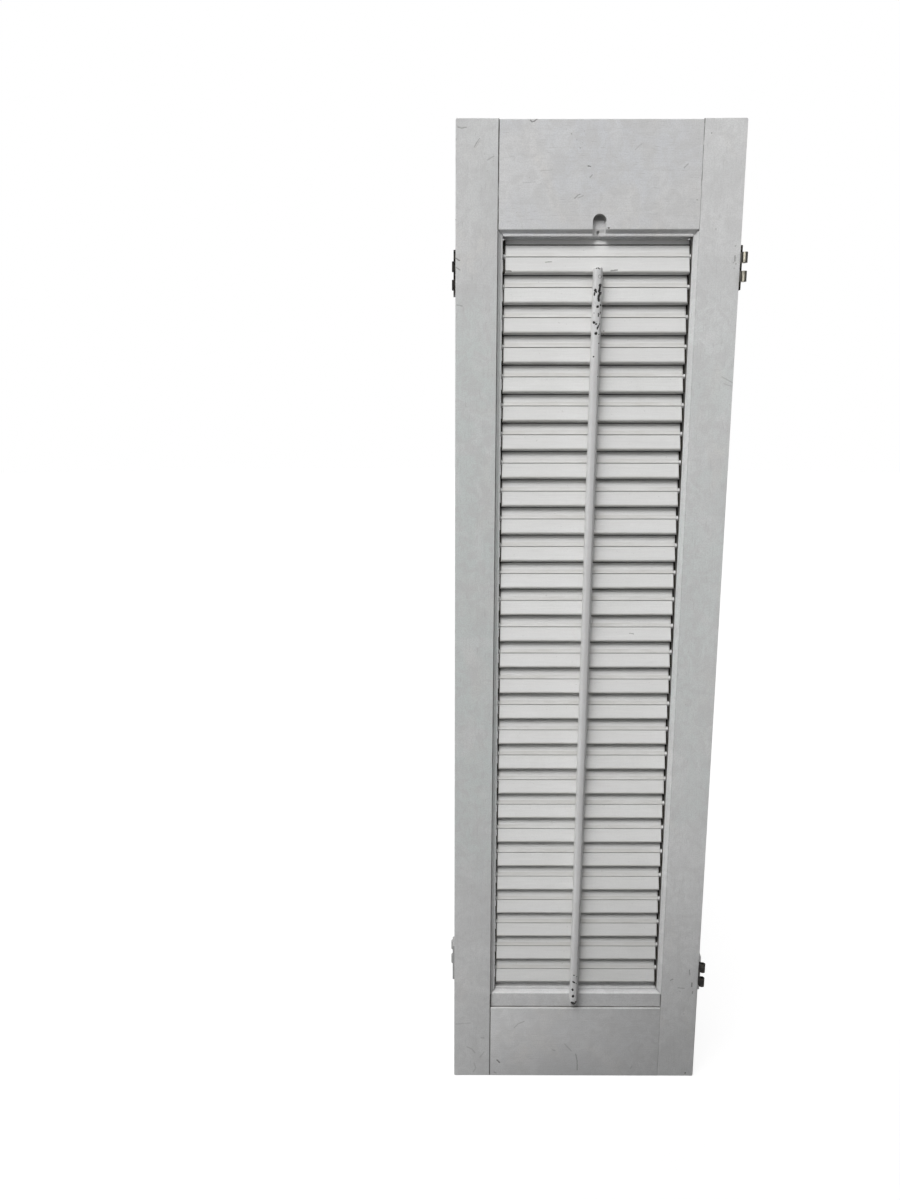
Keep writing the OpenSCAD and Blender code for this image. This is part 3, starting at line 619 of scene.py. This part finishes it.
# chips on the rod: radius and picture points of each, laid on the front of the rod
CHIPS = [
    (1.25, (600.3, 285.3)), (0.75, (600.2, 286.5), (599.8, 289.8)), (0.9, (599.2, 291)), (1.35, (600.2, 293.2)),
    (0.85, (599.2, 295), (598.5, 298), (599, 300.6)), (1.15, (595.2, 290.2)), (0.7, (595.6, 291.3), (596.3, 292)), (0.45, (594.6, 293), (594.3, 295)),
    (1.0, (597.8, 306.7)), (0.55, (600.6, 305.3)), (0.25, (598.6, 313.5), (598.5, 316.3)), (0.1, (600.6, 312), (600.2, 314.5)),
    (1.15, (593.8, 322.6)), (0.7, (596.3, 324)), (0.3, (599.6, 324.2)), (0.45, (598.6, 325.8), (597.3, 328.6)), (1.25, (595.9, 333.4)),
    (0.3, (599.0, 343.4)), (0.5, (593.5, 356.7)), (0.2, (597.8, 376.5)), (0.2, (598.8, 334.2)), (0.15, (594.0, 313.0)),
    (0.05, (595.6, 268.6), (597.4, 267.9)), (0.12, (598.2, 268.0), (599.8, 268.8)),
    (0.3, (575.2, 968.0), (574.2, 966.6)), (0.3, (574, 975.6)), (0.1, (577, 976.6)), (0.5, (573.1, 982.0), (574.4, 982.8)), (0.2, (576.2, 983.6)),
    (0.9, (572.5, 990)), (1.05, (573.0, 996.3)), (1.0, (571.3, 1003.0), (573.4, 1003.6)), (0.8, (575.4, 1003.6), (575.9, 1002.2)),
]
RINGS = [(600.0, 276.6, 1.7, 0.4)]


def chip_depth(px, py):
    worst = 0.0
    for r, *pts in CHIPS:
        if abs(py - pts[0][1]) > 14:
            continue
        if len(pts) == 1:
            d = math.hypot(px - pts[0][0], py - pts[0][1])
        else:
            d = 99.0
            for a, b in zip(pts[:-1], pts[1:]):
                ax, ay, bx, by = a[0], a[1], b[0] - a[0], b[1] - a[1]
                h = max(0.0, min(1.0, ((px - ax) * bx + (py - ay) * by) / (bx * bx + by * by)))
                d = min(d, math.hypot(px - ax - bx * h, py - ay - by * h))
        d += 0.5 * noise.noise(Vector((px * 1.0, py * 1.0, 3.0))) - 0.28
        worst = max(worst, min(1.0, max(0.0, (r + 0.25 - d) / 0.5)))
    for cx, cy, r, w in RINGS:
        d = abs(math.hypot(px - cx, py - cy) - r)
        worst = max(worst, 0.42 * min(1.0, max(0.0, (w + 0.3 - d) / 0.5)))
    return worst


def hung_rod():
    """The rod swept ring by ring: brushed unevenness, worn round ends, chips cut through the paint."""
    lo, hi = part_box("tilt_rod")
    z0, z1 = lo[2] / MM, hi[2] / MM
    front, back = lo[1] / MM, hi[1] / MM
    half = 4.2
    lean = math.tan(math.radians(0.21))
    top_x = 0.3
    # (across, depth) round the section from the left flank: a round left arris, a flat front, a planed right arris
    outline = []
    for k in range(15):
        a = math.pi / 2 * k / 14
        outline.append((-half + 2.6 * (1 - math.cos(a)), front + 2.6 * (1 - math.sin(a))))
    for k in range(1, 12):
        t = k / 11
        outline.append((-1.6 + 3.5 * t, front + 0.7 * t * t))
    for k in range(1, 13):
        t = k / 12
        outline.append((1.9 + 2.3 * t, front + 0.7 + 4.0 * (0.5 * t + 0.5 * t ** 1.4)))
    for k in range(1, 6):
        outline.append((half, front + 4.7 + (back - front - 4.7) * k / 5))
    for k in range(1, 8):
        outline.append((half - 2 * half * k / 8, back))
    for k in range(5, 0, -1):
        outline.append((-half, front + 2.6 + (back - front - 2.6) * k / 5))
    count = len(outline)
    outward = []
    for k in range(count):
        (xa, ya), (xb, yb) = outline[k - 1], outline[(k + 1) % count]
        outward.append(Vector((yb - ya, xa - xb, 0)).normalized())
    levels = []
    z = z0
    while z < z1 - 0.05:
        levels.append(z)
        near_top, near_end = z1 - z, z - z0
        z += 0.32 if near_end < 5 else 0.4 if near_end < 42 or near_top < 110 else 4.0
        if near_top > 110 and z1 - z < 110:
            z = z1 - 110
    levels.append(z1)
    bm = bmesh.new()
    chip = bm.verts.layers.float.new("chip")
    rings = []
    mid = (front + back) / 2
    for z in levels:
        t = min(1.0, (z - z0) / 4.6)
        s = 0.52 + 0.48 * math.sqrt(max(0.0, 1 - (1 - t) ** 2))
        t = min(1.0, (z1 - z) / 1.6)
        s *= 0.84 + 0.16 * math.sqrt(max(0.0, 1 - (1 - t) ** 2))
        ring = []
        cx = top_x - (z1 - z) * lean
        for k, (a, d) in enumerate(outline):
            p = Vector((cx + a * s, mid + (d - mid) * (0.4 + 0.6 * s), z))
            n = outward[k]
            rough = min(-0.01, 0.10 * (noise.noise(p * 0.16) - 0.6) + 0.06 * (noise.noise(p * 0.7) - 0.6))
            c = 0.0
            if d < front + half + 0.5 and (z1 - z < 112 or z - z0 < 44):
                c = chip_depth(*to_picture(p))
            ring.append((p + n * (rough - 0.30 * c), c))
        rings.append(ring)
    made = []
    for ring in rings:
        row = []
        for p, c in ring:
            v = bm.verts.new(p * MM)
            v[chip] = c
            row.append(v)
        made.append(row)
    m = len(outline)
    for a, b in zip(made[:-1], made[1:]):
        for k in range(m):
            bm.faces.new((a[k], a[(k + 1) % m], b[(k + 1) % m], b[k]))
    for row, up in ((made[0], -1), (made[-1], 1)):
        c = sum((v.co for v in row), Vector()) / m
        hub = bm.verts.new(c + Vector((0, 0, 0)))
        hub[chip] = 0.15
        for k in range(m):
            tri = (row[k], row[(k + 1) % m], hub)
            bm.faces.new(tri if up > 0 else tri[::-1])
    bmesh.ops.recalc_face_normals(bm, faces=bm.faces)
    smooth_by_angle(bm, 50.0)
    return link("tilt_rod_painted", bm, mat_rod, "tilt_rod", "painted_rod", "tilt_rod")


hung_rod()

for n, o in nodes.items():
    if n.startswith("louver"):
        assign(o, mat_louver)
assign(nodes["rod_staples"], mat_wire)
assign(nodes["hinge_leaf_top_right"], mat_hinge)
assign(nodes["hinge_leaf_bottom_right"], mat_hinge_dark)
assign(nodes["hinge_leaf_top_left"], mat_hinge_dark)
assign(nodes["hinge_leaf_bottom_left"], mat_leaf_shaded_paint)
leaf = nodes["hinge_leaf_bottom_right"]
leaf.data.materials.append(mat_leaf_worn)
for f in leaf.data.polygons:
    f.material_index = 1 if min(leaf.data.vertices[i].co.y for i in f.vertices) > -0.0096 else 0
leaf = nodes["hinge_leaf_top_right"]
leaf.data.materials.append(mat_hinge_dark)
for f in leaf.data.polygons:
    f.material_index = 1 if min(leaf.data.vertices[i].co.y for i in f.vertices) > -0.0096 else 0
assign(nodes["hinge_screws"], mat_screw)
assign(nodes["frame_dowels"], mat_wood)

# ---------------------------------------------------------------- floor and light
bm = bmesh.new()
bmesh.ops.create_circle(bm, cap_ends=True, segments=96, radius=14.0)
floor_mesh = bpy.data.meshes.new("floor")
bm.to_mesh(floor_mesh)
bm.free()
floor = bpy.data.objects.new("floor", floor_mesh)
scene.collection.objects.link(floor)
fl = Tree("floor")
fl.put(fl.bsdf.inputs["Base Color"], fl.mix(fl.noise(fl.scaled(3, 3, 3), 1.0, 3.0), (0.19, 0.19, 0.19, 1), (0.21, 0.21, 0.21, 1)))
fl.bsdf.inputs["Roughness"].default_value = 0.8
fl.bsdf.inputs["Emission Color"].default_value = (1, 1, 1, 1)
fl.bsdf.inputs["Emission Strength"].default_value = 0.85
floor_mesh.materials.append(fl.mat)
floor.visible_diffuse = False

# a white room for the eye, with only a little light of its own; the side behind the panel is brighter
world = bpy.data.worlds.new("studio")
scene.world = world
world.use_nodes = True
wt = world.node_tree
wt.nodes.clear()
w_out = wt.nodes.new("ShaderNodeOutputWorld")
w_mix = wt.nodes.new("ShaderNodeMixShader")
w_fill = wt.nodes.new("ShaderNodeBackground")
w_back = wt.nodes.new("ShaderNodeBackground")
w_path = wt.nodes.new("ShaderNodeLightPath")
w_dir = wt.nodes.new("ShaderNodeTexCoord")
w_sep = wt.nodes.new("ShaderNodeSeparateXYZ")
w_range = wt.nodes.new("ShaderNodeMapRange")
w_range.interpolation_type = "SMOOTHSTEP"
for k, v in (("From Min", 0.1), ("From Max", 0.6), ("To Min", 0.03), ("To Max", 0.62)):
    w_range.inputs[k].default_value = v
wt.links.new(w_dir.outputs["Generated"], w_sep.inputs[0])
wt.links.new(w_sep.outputs[1], w_range.inputs["Value"])
wt.links.new(w_range.outputs[0], w_fill.inputs[1])
w_fill.inputs[0].default_value = (1, 1, 1, 1)
w_back.inputs[0].default_value = (1, 1, 1, 1)
w_back.inputs[1].default_value = 1.0
wt.links.new(w_path.outputs["Is Camera Ray"], w_mix.inputs[0])
wt.links.new(w_fill.outputs[0], w_mix.inputs[1])
wt.links.new(w_back.outputs[0], w_mix.inputs[2])
wt.links.new(w_mix.outputs[0], w_out.inputs[0])


def sun(name, azimuth, elevation, strength, angle=50.0):
    d = bpy.data.lights.new(name, "SUN")
    d.energy = strength
    d.angle = math.radians(angle)
    o = bpy.data.objects.new(name, d)
    scene.collection.objects.link(o)
    a, e = math.radians(azimuth), math.radians(elevation)
    to = Vector((math.sin(a) * math.cos(e), -math.cos(a) * math.cos(e), math.sin(e)))
    o.rotation_euler = to.to_track_quat("Z", "Y").to_euler()
    return o


def softbox(name, loc, target, size, power):
    d = bpy.data.lights.new(name, "AREA")
    d.shape = "RECTANGLE"
    d.size, d.size_y = size
    d.energy = power
    o = bpy.data.objects.new(name, d)
    scene.collection.objects.link(o)
    o.location = loc
    o.rotation_euler = (Vector(loc) - Vector(target)).to_track_quat("Z", "Y").to_euler()
    return o


KEY = (-28.0, 49.0)
sun("key", *KEY, 1.25, 28)
softbox("lamp", (-0.62, -1.13, 2.0), (0, 0, 0.55), (0.8, 0.8), 7.7)
sun("side", -67, 49, 0.45, 30)
sun("front", 5, 50, 0.13, 30)
sun("high", -45, 75, 0.50, 32)
sun("right", 55, 45, 0.06, 40)
softbox("left_fill", (-0.8, -0.6, 0.6), (0, 0, 0.5), (0.5, 0.5), 1.15)
softbox("right_fill", (0.6, -0.7, 1.0), (0.05, 0, 0.6), (0.5, 0.5), 0.9)
softbox("top", (0, -0.45, 1.75), (0, 0, 0.7), (0.8, 0.6), 1.8)

# a flag between the key light and the lower right, so that the light falls off there
a, e = math.radians(KEY[0]), math.radians(KEY[1])
to_key = Vector((math.sin(a) * math.cos(e), -math.cos(a) * math.cos(e), math.sin(e)))
bm = bmesh.new()
bm.faces.new([bm.verts.new(Vector((x, 0, z)) + to_key * 0.6) for x, z in ((-0.04, -0.065), (0.055, 0.05), (0.5, 0.14), (0.5, -0.2), (-0.04, -0.2))])
flag_mesh = bpy.data.meshes.new("flag")
bm.to_mesh(flag_mesh)
bm.free()
flag = bpy.data.objects.new("flag", flag_mesh)
scene.collection.objects.link(flag)
flag_mesh.materials.append(fl.mat)
flag.visible_camera = False
flag.visible_diffuse = False
flag.visible_glossy = False
